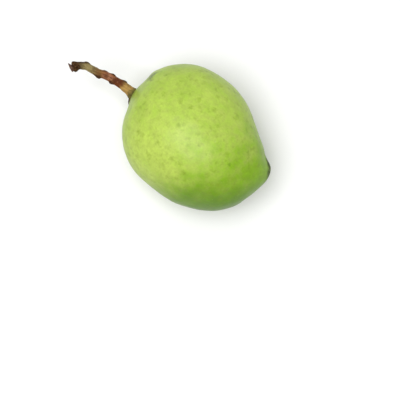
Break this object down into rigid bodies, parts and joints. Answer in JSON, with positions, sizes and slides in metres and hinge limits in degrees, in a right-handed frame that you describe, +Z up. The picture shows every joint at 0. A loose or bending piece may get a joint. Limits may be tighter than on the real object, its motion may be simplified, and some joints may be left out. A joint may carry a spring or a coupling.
{
  "type": "mango",
  "caption": "Whole green mango with the broken-off end of its stalk, lying on one cheek on a small flat spot.",
  "frame": {"origin": "on the flat spot that the fruit rests on, straight under the centre of the fruit", "axes": "+X along the fruit from the stalk to the tip, +Y towards the beaked side, +Z up out of the surface it lies on"},
  "size_m": [0.138, 0.0821, 0.0735],
  "materials": {
    "skin": "waxy yellow-green fruit skin, satin, with faint darker dots",
    "bark": "dry matte bark, tan at the fruit, red-brown along the middle and dark brown at the end"
  },
  "bodies": {
    "root": {"fruit": "skin", "stalk": "bark"}
  },
  "joints": []
}
